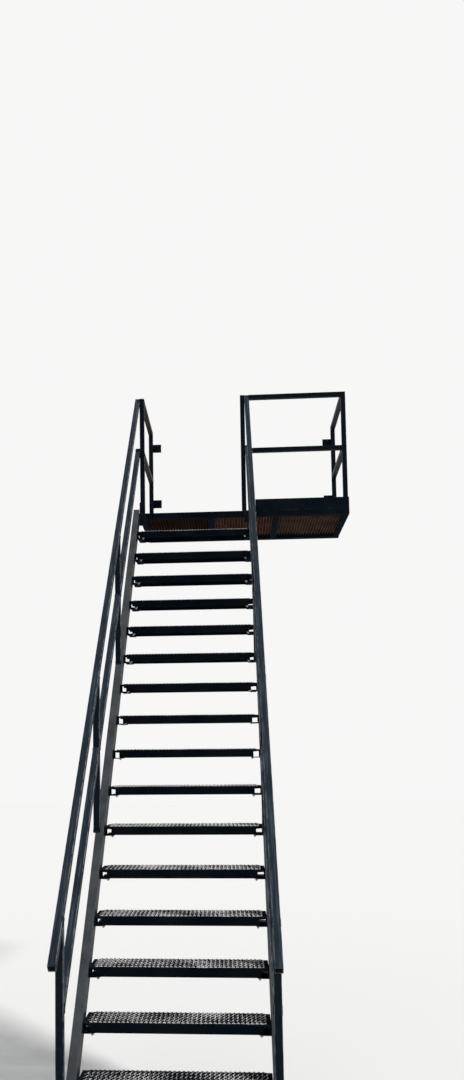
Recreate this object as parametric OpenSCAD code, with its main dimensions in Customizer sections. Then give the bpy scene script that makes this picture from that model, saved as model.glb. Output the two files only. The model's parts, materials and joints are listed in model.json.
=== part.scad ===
// Straight steel fire escape stair with a wall-hung landing.
// Millimetres, +Z up. X runs along the wall, +Y points into the wall.
// The origin is on the back face of the wall ledger, at its middle, so the
// wall plane is y = 0 and the ground is at z = ground_z.

/* [Flight] */
// height of the landing above the ground
stair_h = 3990; // [3200:10:4200]
// length of the flight along the ground, from the first nose to the landing
stair_run = 4000; // [3600:10:4600]
// number of treads in the flight
treads = 16; // [14:1:16]
// height from the top tread up to the landing
last_rise = 214; // [180:1:250]
// clear width between the two stringers
clear_w = 982; // [700:1:1200]
// distance of the middle of the flight from the middle of the landing
flight_x = -436; // [-600:1:-300]

/* [Stringers] */
// width of the stringer tube
stringer_w = 50; // [38:1:80]
// depth of the stringer tube, square to the slope
stringer_d = 102; // [90:1:200]
// wall thickness of the stringer tube
stringer_t = 5; // [3:0.5:8]
// height of the stringer top above the line of the tread noses
stringer_up = 17; // [0:1:60]

/* [Treads] */
// depth of a tread from front to back
tread_d = 240; // [180:1:260]
// height of a tread from its top to the bottom of its lips
tread_h = 51; // [38:1:63]
// thickness of the tread sheet
tread_t = 3; // [2:0.5:5]
// width of the lip turned in under a tread
lip_w = 14; // [8:1:30]
// gap between the end of a tread and the stringer
end_gap = 1; // [0.5:0.5:5]
// how far the lips of a tread stop short of its ends
lip_cut = 42; // [10:1:60]
// length of the carrier angles under the tread ends
carrier_d = 122; // [80:1:140]
// distance between openings along a tread
diamond_pitch = 48; // [30:1:70]
// full rows of openings across a tread, with a shifted row between each two
diamond_rows = 4; // [2:1:5]
// size of an opening against one that would touch its neighbours
diamond_open = 0.78; // [0.5:0.01:0.85]

/* [Landing] */
// width of the landing along the wall
deck_w = 1852; // [1400:2:2600]
// depth of the landing out from the wall
deck_d = 1108; // [800:1:1500]
// size of the square tube of the landing frame
frame_w = 51; // [38:1:80]
// wall thickness of the landing frame tube
frame_t = 5; // [3:0.5:8]
// height of the toe plate above the deck
toe_h = 101; // [75:1:150]
// thickness of the toe plate
toe_t = 8; // [4:0.5:10]

/* [Grating] */
// depth of the bearing bars
bar_h = 25; // [19:1:38]
// thickness of the bearing bars
bar_t = 5; // [3:0.5:6]
// distance between bearing bars
bar_pitch = 26; // [20:0.5:60]
// distance between cross rods
rod_pitch = 102; // [50:1:150]
// thickness of the cross rods
rod_w = 6; // [4:0.5:8]

/* [Guards] */
// height of the guard above the deck
guard_h = 1056; // [900:1:1200]
// height of the middle rail above the deck
mid_h = 570; // [400:1:700]
// size of the square tube of posts and rails
tube_w = 40; // [32:1:60]
// wall thickness of posts and rails
tube_t = 3; // [2:0.5:5]
// height of the top stair rail above the line of noses
hand_h = 1000; // [850:1:1100]
// height of the lower stair rail above the line of noses
hand_mid = 536; // [350:1:650]
// how far the top stair rails run on past the bottom posts
hand_run = 239; // [0:1:300]
// distance of the bottom posts in front of the first nose
post_1 = 140; // [110:1:250]
// distance from the bottom posts up to the second posts
post_2 = 1360; // [800:10:1700]
// distance from the bottom posts up to the third posts
post_3 = 2560; // [1800:10:3400]
// how far the left stair rails stand further out at the bottom post
splay_left = 46; // [0:1:80]
// how far the right stair rails stand further out at the bottom post
splay_right = 32; // [0:1:80]

/* [Fixings] */
// thickness of the wall ledger angle
ledger_t = 6; // [5:1:12]
// reach of the ledger under the landing frame
ledger_out = 76; // [60:1:120]
// radius of the anchor holes in the ledger and the foot plates
anchor_r = 9; // [6:0.5:12]
// distance from an end of the landing to the nearest ledger hole
ledger_end = 123.5; // [60:0.5:200]
// width of a wall plate beside its post
tie_w = 80; // [60:1:120]
// height of a wall plate
tie_h = 80; // [70:1:120]
// thickness of a wall plate
tie_t = 8; // [5:1:12]
// radius of the bolt holes in the wall plates
tie_hole_r = 6.5; // [4:0.5:9]
// height of the lower wall plates above the deck
tie_low = 330; // [200:5:420]
// height of the upper wall plates above the deck
tie_high = 895; // [600:5:930]
// thickness of the foot plates
foot_t = 10; // [6:1:20]
// width of the foot plates
foot_w = 130; // [100:1:180]

/* [Hidden] */
steel_col = [0.05, 0.055, 0.06];
deck_col = [0.16, 0.10, 0.08];

// levels, counted from the middle of the wall ledger
rise = (stair_h - last_rise) / treads;
going = stair_run / treads;
ledger_h = frame_w + ledger_t;
deck_z = ledger_h / 2;
frame_z = deck_z - frame_w;
ground_z = deck_z - stair_h;
guard_z = deck_z + guard_h;

// landing outline
deck_l = -deck_w / 2;
deck_r = deck_w / 2;
deck_f = -deck_d;
beam_b = -ledger_t;

// the flight runs between the inner faces of the two stringers
in_l = flight_x - clear_w / 2;
in_r = flight_x + clear_w / 2;

// at the landing the stair rails pass to the left and to the right of the
// posts, with a hair of clearance, and they spread towards the foot
fit = 0.3;
rail_in = 9;
post_in = toe_t + tube_w / 2;
post_lx = deck_l + post_in;
post_rx = deck_r - post_in;
rail_lx = post_lx - tube_w - fit;
rail_rx = in_r - rail_in;
post_sx = rail_rx - tube_w - fit;
post_y = deck_f + toe_t + tube_w / 2;
rail_top_y = post_y + tube_w / 2;
first_nose_y = deck_f - stair_run;
slope = atan2(rise, going);
slope_k = rise / going;

// the stringers end at the back of the bottom posts, far enough forward for
// their undersides to sit on the foot plates
stringer_v = stringer_d / cos(slope);
stringer_lo = stringer_up - stringer_v;
seat_y = first_nose_y + (foot_t - stringer_lo - rise) / slope_k;
toe_y = min(first_nose_y - post_1 + tube_w / 2, seat_y - 9);
base_y = toe_y - tube_w / 2;

// sideways spread of the stair rails for each millimetre towards the foot
spread_l = -splay_left / (rail_top_y - base_y);
spread_r = splay_right / (rail_top_y - base_y);

function nose_y(k) = deck_f - (treads + 1 - k) * going;
function tread_z(k) = ground_z + k * rise;
function line_z(y) = tread_z(1) + (y - nose_y(1)) * slope_k;

// hollow square bar standing on its end, from z0 up to z1
module upright(x, y, z0, z1, w = tube_w, t = tube_t) {
  translate([x - w / 2, y - w / 2, z0])
    difference() {
      cube([w, w, z1 - z0]);
      translate([t, t, -1])
        cube([w - 2 * t, w - 2 * t, z1 - z0 + 2]);
    }
}

// hollow bar along X from x0 to x1, with its low front corner at y, z
module bar_x(x0, x1, y, z, dy, dz, t) {
  translate([x0, y, z])
    difference() {
      cube([x1 - x0, dy, dz]);
      translate([-1, t, t])
        cube([x1 - x0 + 2, dy - 2 * t, dz - 2 * t]);
    }
}

// hollow bar along Y from y0 to y1, with its low left corner at x, z
module bar_y(y0, y1, x, z, dx, dz, t) {
  translate([x, y0, z])
    difference() {
      cube([dx, y1 - y0, dz]);
      translate([t, -1, t])
        cube([dx - 2 * t, y1 - y0 + 2, dz - 2 * t]);
    }
}

// outline pushed out along X, with the outline drawn in the Y and Z plane
module side_cut(x0, x1) {
  translate([x0, 0, 0])
    rotate([90, 0, 90])
      linear_extrude(x1 - x0)
        children();
}

// strip parallel to the slope between two heights above the line of noses
module slope_strip(y0, y1, up0, up1) {
  polygon([
    [y0, line_z(y0) + up0],
    [y1, line_z(y1) + up0],
    [y1, line_z(y1) + up1],
    [y0, line_z(y0) + up1]
  ]);
}

// middle of a stair rail at y, from its middle at the landing and its spread
function rail_x(x, spread, y) = x + spread * (rail_top_y - y);

// strip seen from above that follows a spreading rail
module plan_strip(x, spread, y0, y1, w) {
  x0 = rail_x(x, spread, y0);
  x1 = rail_x(x, spread, y1);
  translate([0, 0, ground_z - 1000])
    linear_extrude(stair_h + 3000)
      polygon([[x0 - w / 2, y0], [x0 + w / 2, y0], [x1 + w / 2, y1], [x1 - w / 2, y1]]);
}

// inclined rail with upright ends: up is its top above the line of noses
module rail_tube(x, spread, y0, y1, up) {
  dv = tube_w / cos(slope);
  tv = tube_t / cos(slope);
  difference() {
    intersection() {
      side_cut(x - 4 * tube_w, x + 4 * tube_w)
        slope_strip(y0, y1, up - dv, up);
      plan_strip(x, spread, y0 - 5, y1 + 5, tube_w);
    }
    intersection() {
      side_cut(x - 4 * tube_w, x + 4 * tube_w)
        slope_strip(y0 - 1, y1 + 1, up - dv + tv, up - tv);
      plan_strip(x, spread, y0 - 5, y1 + 5, tube_w - 2 * tube_t);
    }
  }
}

// inclined tube with upright ends: x is its middle, up its top above the noses
module slope_tube(x, y0, y1, up, w, d, t) {
  dv = d / cos(slope);
  tv = t / cos(slope);
  difference() {
    side_cut(x - w / 2, x + w / 2)
      slope_strip(y0, y1, up - dv, up);
    side_cut(x - w / 2 + t, x + w / 2 - t)
      slope_strip(y0 - 1, y1 + 1, up - dv + tv, up - tv);
  }
}

// stringers: rectangular tube, level at the foot and upright at both ends
stringer_lx = in_l - stringer_w / 2;
stringer_rx = in_r + stringer_w / 2;
head_t = 8;
head_w = 55;

// a head plate closes the top end and laps onto the landing beam
module head_outline(inward) {
  lo = line_z(deck_f - head_t) + stringer_lo - 3;
  hi = line_z(deck_f - head_t) + stringer_up + 3;
  far = inward * (stringer_w / 2 + head_w);
  polygon([
    [-inward * stringer_w / 2, lo],
    [far, lo],
    [far, deck_z],
    [inward * stringer_w / 2, deck_z],
    [inward * stringer_w / 2, hi],
    [-inward * stringer_w / 2, hi]
  ]);
}

module stringer(x, inward) {
  difference() {
    slope_tube(x, toe_y, deck_f - head_t, stringer_up, stringer_w, stringer_d, stringer_t);
    translate([x - stringer_w, toe_y - 10, ground_z - rise])
      cube([2 * stringer_w, 2 * going, rise + foot_t]);
  }
  translate([x, deck_f, 0])
    rotate([90, 0, 0])
      linear_extrude(head_t)
        head_outline(inward);
}

module stringer_left() {
  color(steel_col) stringer(stringer_lx, 1);
}

module stringer_right() {
  color(steel_col) stringer(stringer_rx, -1);
}

// foot plates under the bottom posts and the stringer ends
foot_front = base_y - tube_w / 2 - 45;
foot_back = seat_y + 62;
foot_l = foot_back - foot_front;
foot_y = (foot_front + foot_back) / 2;
foot_hole_d = foot_l - 40;

module foot_plate(x) {
  translate([x, foot_y, ground_z])
    difference() {
      translate([-foot_w / 2, -foot_l / 2, 0])
        cube([foot_w, foot_l, foot_t]);
      for (s = [-1, 1])
        translate([0, s * foot_hole_d / 2, -1])
          cylinder(h = foot_t + 2, r = anchor_r, $fn = 32);
    }
}

module foot_plates() {
  color(steel_col) {
    foot_plate((stringer_lx + rail_x(rail_lx, spread_l, base_y)) / 2);
    foot_plate((stringer_rx + rail_x(rail_rx, spread_r, base_y)) / 2);
  }
}

// carrier angles: one under each end of each tread
carrier_t = 5;
carrier_w = lip_cut + 16;

module carriers(x, side) {
  for (k = [1:treads])
    translate([x, nose_y(k), tread_z(k) - tread_h])
      mirror([side > 0 ? 0 : 1, 0, 0]) {
        translate([0, tread_t, -carrier_t])
          cube([carrier_w, carrier_d - tread_t, carrier_t]);
        translate([0, tread_t + 1, -carrier_t])
          cube([carrier_t, carrier_d - tread_t - 1, carrier_t + tread_h - tread_t - 1]);
      }
}

module tread_carriers_left() {
  color(steel_col) carriers(in_l, 1);
}

module tread_carriers_right() {
  color(steel_col) carriers(in_r, -1);
}

// treads: a folded plank with a lattice of openings in its top
module tread_outline() {
  polygon([
    [0, 0],
    [tread_d, 0],
    [tread_d, -tread_h],
    [tread_d - lip_w, -tread_h],
    [tread_d - lip_w, -tread_h + tread_t],
    [tread_d - tread_t, -tread_h + tread_t],
    [tread_d - tread_t, -tread_t],
    [tread_t, -tread_t],
    [tread_t, -tread_h + tread_t],
    [lip_w, -tread_h + tread_t],
    [lip_w, -tread_h],
    [0, -tread_h]
  ]);
}

module tread(k) {
  x0 = in_l + end_gap;
  x1 = in_r - end_gap;
  row_d = tread_d / diamond_rows / 2;
  count = floor((x1 - x0 - lip_cut) / diamond_pitch);
  first_x = (x0 + x1) / 2 - (count - 1) / 2 * diamond_pitch;
  half_w = diamond_open * diamond_pitch / 2;
  half_d = diamond_open * row_d;
  translate([0, nose_y(k), tread_z(k)])
    difference() {
      side_cut(x0, x1) tread_outline();
      for (x = [x0 - 1, x1 - lip_cut])
        translate([x, -1, -tread_h - 1])
          cube([lip_cut + 1, tread_d + 2, tread_h + 1 - tread_t]);
      translate([0, 0, -tread_t - 1])
        linear_extrude(tread_t + 2)
          for (r = [0:2 * diamond_rows - 2], c = [0:count - 1 - r % 2])
            translate([first_x + (c + r % 2 / 2) * diamond_pitch, (r + 1) * row_d])
              polygon([[-half_w, 0], [0, -half_d], [half_w, 0], [0, half_d]]);
    }
}

module tread_node(k) {
  if (k <= treads)
    color(steel_col) tread(k);
}

// landing frame: square tube round the deck
module deck_beam_front() {
  color(steel_col) bar_x(deck_l, deck_r, deck_f, frame_z, frame_w, frame_w, frame_t);
}

module deck_beam_rear() {
  color(steel_col) bar_x(deck_l, deck_r, beam_b - frame_w, frame_z, frame_w, frame_w, frame_t);
}

module deck_beam_left() {
  color(steel_col) bar_y(deck_f + frame_w, beam_b - frame_w, deck_l, frame_z, frame_w, frame_w, frame_t);
}

module deck_beam_right() {
  color(steel_col) bar_y(deck_f + frame_w, beam_b - frame_w, deck_r - frame_w, frame_z, frame_w, frame_w, frame_t);
}

// ledger: an angle bolted to the wall that carries the frame
ledger_holes = 4;
ledger_span = deck_w - 2 * ledger_end;

module wall_ledger() {
  color(steel_col)
    difference() {
      side_cut(deck_l, deck_r)
        polygon([
          [0, -ledger_h / 2],
          [0, ledger_h / 2],
          [-ledger_t, ledger_h / 2],
          [-ledger_t, -ledger_h / 2 + ledger_t],
          [-ledger_out, -ledger_h / 2 + ledger_t],
          [-ledger_out, -ledger_h / 2]
        ]);
      for (i = [0:ledger_holes - 1])
        translate([-ledger_span / 2 + i * ledger_span / (ledger_holes - 1), 1, ledger_t / 2])
          rotate([90, 0, 0])
            cylinder(h = ledger_t + 2, r = anchor_r, $fn = 32);
    }
}

// joists under the grating
joist_w = 51;
joist_h = frame_w - bar_h;
panels = 3;
grate_l = deck_l + frame_w;
grate_r = deck_r - frame_w;
grate_f = deck_f + frame_w;
grate_b = beam_b - frame_w;
panel_w = (grate_r - grate_l) / panels;

module deck_joists() {
  color(steel_col)
    for (i = [1:panels - 1])
      bar_y(grate_f, grate_b, grate_l + i * panel_w - joist_w / 2, frame_z, joist_w, joist_h, 3);
}

// grating panels: bearing bars front to back, cross rods let into their tops
module grating(i) {
  x0 = grate_l + (i - 1) * panel_w + 1.5;
  x1 = grate_l + i * panel_w - 1.5;
  bars = floor((x1 - x0 - bar_t) / bar_pitch);
  step = (x1 - x0 - bar_t) / bars;
  y0 = grate_f + 1;
  y1 = grate_b - 1;
  rods = floor((y1 - y0 - 60) / rod_pitch);
  first = (y0 + y1) / 2 - rods / 2 * rod_pitch;
  color(deck_col)
    union() {
      for (b = [0:bars])
        translate([x0 + b * step, y0, deck_z - bar_h])
          cube([bar_t, y1 - y0, bar_h]);
      for (r = [0:rods])
        translate([x0, first + r * rod_pitch - rod_w / 2, deck_z - 1 - rod_w])
          cube([x1 - x0, rod_w, rod_w]);
    }
}

module deck_grating_left() {
  grating(1);
}

module deck_grating_middle() {
  grating(2);
}

module deck_grating_right() {
  grating(3);
}

// toe plates stand on the frame on the open sides
open_l = in_r + stringer_w;

module toe_plate_front() {
  color(steel_col)
    translate([open_l, deck_f, deck_z])
      cube([deck_r - open_l, toe_t, toe_h]);
}

module toe_plate_left() {
  color(steel_col)
    translate([deck_l, deck_f + toe_t, deck_z])
      cube([toe_t, -deck_f - toe_t - tie_t, toe_h]);
}

module toe_plate_right() {
  color(steel_col)
    translate([deck_r - toe_t, deck_f + toe_t, deck_z])
      cube([toe_t, -deck_f - toe_t - tie_t, toe_h]);
}

// landing posts stand on the frame, inside the toe plates
rear_y = -tie_t - tube_w / 2;

module guard_post_front_left() {
  color(steel_col) upright(post_lx, post_y, deck_z, guard_z);
}

module guard_post_front_right() {
  color(steel_col) upright(post_rx, post_y, deck_z, guard_z);
}

module guard_post_rear_left() {
  color(steel_col) upright(post_lx, rear_y, deck_z, guard_z - tube_w);
}

module guard_post_rear_right() {
  color(steel_col) upright(post_rx, rear_y, deck_z, guard_z - tube_w);
}

module guard_post_stair() {
  color(steel_col) upright(post_sx, post_y, deck_z, guard_z);
}

// guard rails between the posts
module guard_rails_front() {
  x0 = rail_x(rail_rx, spread_r, post_y - tube_w / 2) + tube_w / 2 + fit;
  x1 = post_rx - tube_w / 2;
  color(steel_col)
    for (z = [guard_z, deck_z + mid_h])
      bar_x(x0, x1, post_y - tube_w / 2, z - tube_w, tube_w, tube_w, tube_t);
}

module guard_side(x) {
  bar_y(post_y + tube_w / 2, -tie_t, x - tube_w / 2, guard_z - tube_w, tube_w, tube_w, tube_t);
  bar_y(post_y + tube_w / 2, rear_y - tube_w / 2, x - tube_w / 2, deck_z + mid_h - tube_w, tube_w, tube_w, tube_t);
}

module guard_rails_left() {
  color(steel_col) guard_side(post_lx);
}

module guard_rails_right() {
  color(steel_col) guard_side(post_rx);
}

// wall plates that tie the rear posts to the wall
tie_hole_d = tie_h - 36;

module wall_tie(x, inward) {
  x0 = inward > 0 ? x - tube_w / 2 : x + tube_w / 2 - tube_w - tie_w;
  for (z = [deck_z + tie_low, deck_z + tie_high])
    difference() {
      translate([x0, -tie_t, z - tie_h / 2])
        cube([tube_w + tie_w, tie_t, tie_h]);
      for (s = [-1, 1])
        translate([x + inward * (tube_w / 2 + tie_w / 2), 1, z + s * tie_hole_d / 2])
          rotate([90, 0, 0])
            cylinder(h = tie_t + 2, r = tie_hole_r, $fn = 24);
    }
}

module wall_ties() {
  color(steel_col) {
    wall_tie(post_lx, 1);
    wall_tie(post_rx, -1);
  }
}

// stair rails and posts, standing on the stringers
post_ys = [base_y, base_y + post_2, base_y + post_3];
rail_end_y = base_y - hand_run;
tube_v = tube_w / cos(slope);

module top_rail(x, spread) {
  difference() {
    rail_tube(x, spread, rail_end_y - 2 * tube_w, rail_top_y, hand_h);
    translate([rail_x(x, spread, rail_end_y) - 2 * tube_w, rail_end_y, line_z(rail_end_y) + hand_h])
      rotate([slope, 0, 0])
        translate([0, -4 * tube_w, -2 * tube_w])
          cube([4 * tube_w, 4 * tube_w, 4 * tube_w]);
  }
}

module mid_rail(x, spread) {
  for (i = [0:2]) {
    y0 = post_ys[i] + tube_w / 2;
    y1 = i < 2 ? post_ys[i + 1] - tube_w / 2 : rail_top_y;
    rail_tube(x, spread, y0, y1, hand_mid);
  }
}

module stair_rails_left() {
  color(steel_col) {
    top_rail(rail_lx, spread_l);
    mid_rail(rail_lx, spread_l);
  }
}

module stair_rails_right() {
  color(steel_col) {
    top_rail(rail_rx, spread_r);
    mid_rail(rail_rx, spread_r);
  }
}

// the bottom post stands on its foot plate, the others on the stringer
module stair_post(x, y, low) {
  y0 = y - tube_w / 2;
  y1 = y + tube_w / 2;
  foot = ground_z + foot_t;
  difference() {
    side_cut(x - tube_w / 2, x + tube_w / 2)
      polygon([
        [y0, low ? foot : line_z(y0) + stringer_up],
        [y1, low ? foot : line_z(y1) + stringer_up],
        [y1, line_z(y1) + hand_h - tube_v],
        [y0, line_z(y0) + hand_h - tube_v]
      ]);
    translate([x - tube_w / 2 + tube_t, y0 + tube_t, ground_z])
      cube([tube_w - 2 * tube_t, tube_w - 2 * tube_t, guard_z - ground_z]);
  }
}

module stair_posts(x, spread) {
  for (i = [0:2])
    stair_post(rail_x(x, spread, post_ys[i]), post_ys[i], i == 0);
}

module stair_posts_left() {
  color(steel_col) stair_posts(rail_lx, spread_l);
}

module stair_posts_right() {
  color(steel_col) stair_posts(rail_rx, spread_r);
}

tread_names = [
  "tread_01", "tread_02", "tread_03", "tread_04", "tread_05", "tread_06", "tread_07", "tread_08",
  "tread_09", "tread_10", "tread_11", "tread_12", "tread_13", "tread_14", "tread_15", "tread_16"
];

stringer_left();
stringer_right();
foot_plates();
tread_carriers_left();
tread_carriers_right();
tread_node(1);  // tread_01
tread_node(2);  // tread_02
tread_node(3);  // tread_03
tread_node(4);  // tread_04
tread_node(5);  // tread_05
tread_node(6);  // tread_06
tread_node(7);  // tread_07
tread_node(8);  // tread_08
tread_node(9);  // tread_09
tread_node(10);  // tread_10
tread_node(11);  // tread_11
tread_node(12);  // tread_12
tread_node(13);  // tread_13
tread_node(14);  // tread_14
tread_node(15);  // tread_15
tread_node(16);  // tread_16
deck_beam_front();
deck_beam_rear();
deck_beam_left();
deck_beam_right();
wall_ledger();
deck_joists();
deck_grating_left();
deck_grating_middle();
deck_grating_right();
toe_plate_front();
toe_plate_left();
toe_plate_right();
guard_post_front_left();
guard_post_front_right();
guard_post_rear_left();
guard_post_rear_right();
guard_post_stair();
guard_rails_front();
guard_rails_left();
guard_rails_right();
wall_ties();
stair_rails_left();
stair_rails_right();
stair_posts_left();
stair_posts_right();
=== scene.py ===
# %% [markdown]
# # A fire escape stair, dressed for the camera
#
# The solids of the stair come from the CAD model: stringers, treads, landing, guards and
# handrails, each in its true place. This lesson adds what a maker's drawing leaves out: the
# serrated teeth on the treads, weld beads, nuts and bolts, and a painted finish that has
# stood outside for years.

# %% Load the frame
import json
import math
import bpy
from mathutils import Matrix, Vector


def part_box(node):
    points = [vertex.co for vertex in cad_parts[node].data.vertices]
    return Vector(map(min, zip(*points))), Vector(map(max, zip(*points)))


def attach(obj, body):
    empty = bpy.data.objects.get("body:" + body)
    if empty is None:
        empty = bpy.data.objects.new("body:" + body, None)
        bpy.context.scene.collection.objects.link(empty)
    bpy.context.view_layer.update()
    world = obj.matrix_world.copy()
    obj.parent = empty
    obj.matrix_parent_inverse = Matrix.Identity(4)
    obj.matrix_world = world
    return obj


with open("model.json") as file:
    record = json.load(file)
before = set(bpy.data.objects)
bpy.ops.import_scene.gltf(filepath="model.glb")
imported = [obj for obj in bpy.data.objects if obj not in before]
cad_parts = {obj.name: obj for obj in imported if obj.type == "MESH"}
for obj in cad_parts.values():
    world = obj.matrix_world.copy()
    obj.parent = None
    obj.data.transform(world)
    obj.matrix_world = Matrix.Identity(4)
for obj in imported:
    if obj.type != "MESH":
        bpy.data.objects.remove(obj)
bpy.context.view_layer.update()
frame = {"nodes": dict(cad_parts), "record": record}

nodes = frame["nodes"]
slot_of = {part["node"]: part["material_slot"] for part in frame["record"]["subparts"]}

# %% [markdown]
# ## The slope of the flight
#
# Marks on the handrails and some weld beads follow the slope of the flight. It could be typed in,
# but it is measured between two treads of the CAD model, so it stays right if a size changes.

# %% Slope of the flight
tread_low, tread_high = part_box("tread_01")
next_low, next_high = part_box("tread_02")
run_each = next_low.y - tread_low.y
rise_each = next_high.z - tread_high.z
slope_angle = math.atan2(rise_each, run_each)
up_slope = Vector((0, run_each, rise_each)).normalized()
print("slope:", round(math.degrees(slope_angle), 1), "degrees")

# %% [markdown]
# ## The camera
#
# The stair was photographed from standing height, a little left of the landing's middle. The
# focal length and the place come from fitting the edges of the treads and rails. The picture
# is the left part of a wider one, so the lens is shifted instead of turned.

# %% Camera
photo_wide, photo_high, sensor_mm = 464, 1080, 36
focal_px, centre_x, centre_y = 1100.8, 141.6, 637.1
pitch, yaw, roll = 0.1023, -0.0849, -0.0093
eye = (-0.0979, -10.7415, -2.0734)
forward = Vector((math.sin(yaw) * math.cos(pitch), math.cos(yaw) * math.cos(pitch), math.sin(pitch)))
level = Vector((math.cos(yaw), -math.sin(yaw), 0))
upward = level.cross(forward)
side = level * math.cos(roll) + upward * math.sin(roll)
upward = upward * math.cos(roll) - level * math.sin(roll)

camera_data = bpy.data.cameras.new("camera")
camera = bpy.data.objects.new("camera", camera_data)
bpy.context.scene.collection.objects.link(camera)
turn = Matrix((side, upward, -forward)).transposed()
camera.matrix_world = Matrix.Translation(eye) @ turn.to_4x4()
camera_data.lens = focal_px / photo_high * sensor_mm
camera_data.shift_x = (photo_wide / 2 - centre_x) / photo_high
camera_data.shift_y = (centre_y - photo_high / 2) / photo_high
camera_data.clip_end = 200
bpy.context.scene.camera = camera
print("lens:", round(camera_data.lens, 1), "mm")

# %% [markdown]
# ## The floor
#
# A plain pale floor lies at ground level, under the foot plates. It is dull, so that it shows only
# the soft shadow of the stair.

# %% Floor
def clear_selection():
    """Leaves edit mode and selects nothing."""
    if bpy.context.object and bpy.context.object.mode != "OBJECT":
        bpy.ops.object.mode_set(mode="OBJECT")
    bpy.ops.object.select_all(action="DESELECT")


ground, floor_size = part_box("foot_plates")[0].z, 60
clear_selection()
bpy.ops.mesh.primitive_plane_add(size=floor_size, location=(0, 0, ground))
floor = bpy.context.object
floor.name = "floor"
floor_paint = bpy.data.materials.new("floor_paint")
floor_paint.use_nodes = True
floor_shader = floor_paint.node_tree.nodes["Principled BSDF"]
floor_shader.inputs["Base Color"].default_value = (0.78, 0.77, 0.75, 1)
floor_shader.inputs["Roughness"].default_value = 0.9
floor_shader.inputs["Specular IOR Level"].default_value = 0.1
floor.data.materials.append(floor_paint)
print("floor at", round(ground, 4))

# %% [markdown]
# ## The lamp
#
# One sun stands high on the right, so tops and right-hand faces are lighter than the fronts. Its
# wide angle softens the shadow, and one lamp is enough to show the form of square tube.

# %% Lamp
lamp_data = bpy.data.lights.new("key_lamp", "SUN")
lamp_data.energy = 3.2
lamp_data.angle = math.radians(9)
lamp = bpy.data.objects.new("key_lamp", lamp_data)
lamp_from = Vector((0.9, -0.06, 1.0))
lamp.rotation_euler = lamp_from.to_track_quat("Z", "Y").to_euler()
bpy.context.scene.collection.objects.link(lamp)
print("lamp:", lamp.name)

# %% [markdown]
# ## The world
#
# Two plain backgrounds share the world. The camera sees a white one, and so do reflections and
# see-through things. All else is lit by a weaker, faintly blue one that fills the shade.

# %% World
world = bpy.data.worlds.new("studio")
bpy.context.scene.world = world
world.use_nodes = True
net = world.node_tree
net.nodes.clear()


def background(colour, strength):
    """A plain background of one colour."""
    node = net.nodes.new("ShaderNodeBackground")
    node.inputs["Color"].default_value = (*colour, 1)
    node.inputs["Strength"].default_value = strength
    return node.outputs[0]


rays = net.nodes.new("ShaderNodeLightPath")
seen = rays.outputs["Is Camera Ray"]
for kind in ("Is Glossy Ray", "Is Transmission Ray"):
    either = net.nodes.new("ShaderNodeMath")
    either.operation = "ADD"
    either.use_clamp = True
    net.links.new(seen, either.inputs[0])
    net.links.new(rays.outputs[kind], either.inputs[1])
    seen = either.outputs[0]
choose = net.nodes.new("ShaderNodeMixShader")
world_output = net.nodes.new("ShaderNodeOutputWorld")
net.links.new(seen, choose.inputs[0])
net.links.new(background((0.93, 0.96, 1.0), 0.45), choose.inputs[1])
net.links.new(background((0.93, 0.93, 0.925), 1.0), choose.inputs[2])
net.links.new(choose.outputs[0], world_output.inputs[0])
bpy.context.scene.view_settings.view_transform = "Standard"
print("world:", len(net.nodes), "nodes")

# %% [markdown]
# ## Helpers for one piece
#
# Each piece starts as a primitive at its real size and place and is then shaped in edit mode.
# Faces and points are picked by their place, so the same steps work again if a size changes.

# %% Shaping one piece
def start_box(name, low, high):
    """A box between two corners, ready to be shaped."""
    low, high = Vector(low), Vector(high)
    clear_selection()
    bpy.ops.mesh.primitive_cube_add(size=1, location=(low + high) / 2)
    piece = bpy.context.object
    piece.name = name
    piece.scale = high - low
    bpy.ops.object.transform_apply(location=True, rotation=True, scale=True)
    return piece


def start_bar(sides, radius, depth, **place):
    """A straight bar with the given number of sides."""
    clear_selection()
    bpy.ops.mesh.primitive_cylinder_add(vertices=sides, radius=radius, depth=depth, **place)
    return bpy.context.object


def pick(piece, want, kind="VERT"):
    """Selects the points or faces that the test wants and leaves the piece in edit mode."""
    bpy.ops.object.mode_set(mode="EDIT")
    bpy.ops.mesh.select_mode(type=kind)
    bpy.ops.mesh.select_all(action="DESELECT")
    bpy.ops.object.mode_set(mode="OBJECT")
    for item in piece.data.polygons if kind == "FACE" else piece.data.vertices:
        item.select = want(item)
    bpy.ops.object.mode_set(mode="EDIT")


def cut(places, axis):
    """Cuts the piece that is active across an axis (0, 1 or 2) at each of the places."""
    square = Vector((0, 0, 0))
    square[axis] = 1
    bpy.ops.object.mode_set(mode="EDIT")
    for place in places:
        bpy.ops.mesh.select_all(action="SELECT")
        bpy.ops.mesh.bisect(plane_co=square * place, plane_no=square)


print("shaping helpers ready")

# %% [markdown]
# ## Helpers for modifiers and rows
#
# A bevel takes the sharpness off an edge, and an array repeats a piece at a fixed step. Both are
# modifiers, and both are applied at once, so what is measured afterwards is the real mesh.

# %% Modifiers and rows
def apply_all(piece):
    """Applies every modifier of the piece, in order."""
    clear_selection()
    piece.select_set(True)
    bpy.context.view_layer.objects.active = piece
    for step in [modifier.name for modifier in piece.modifiers]:
        bpy.ops.object.modifier_apply(modifier=step)


def bevel_edges(piece, width):
    """Turns the sharp edges of the piece off by one small face."""
    edge = piece.modifiers.new("edge", "BEVEL")
    edge.width = width
    edge.segments = 1
    edge.limit_method = "ANGLE"
    apply_all(piece)


def array(piece, count, step):
    """Repeats the piece in a row and applies it."""
    row = piece.modifiers.new("row", "ARRAY")
    row.count = count
    row.use_relative_offset = False
    row.use_constant_offset = True
    row.constant_offset_displace = step
    apply_all(piece)


print("modifier helpers ready")

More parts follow.
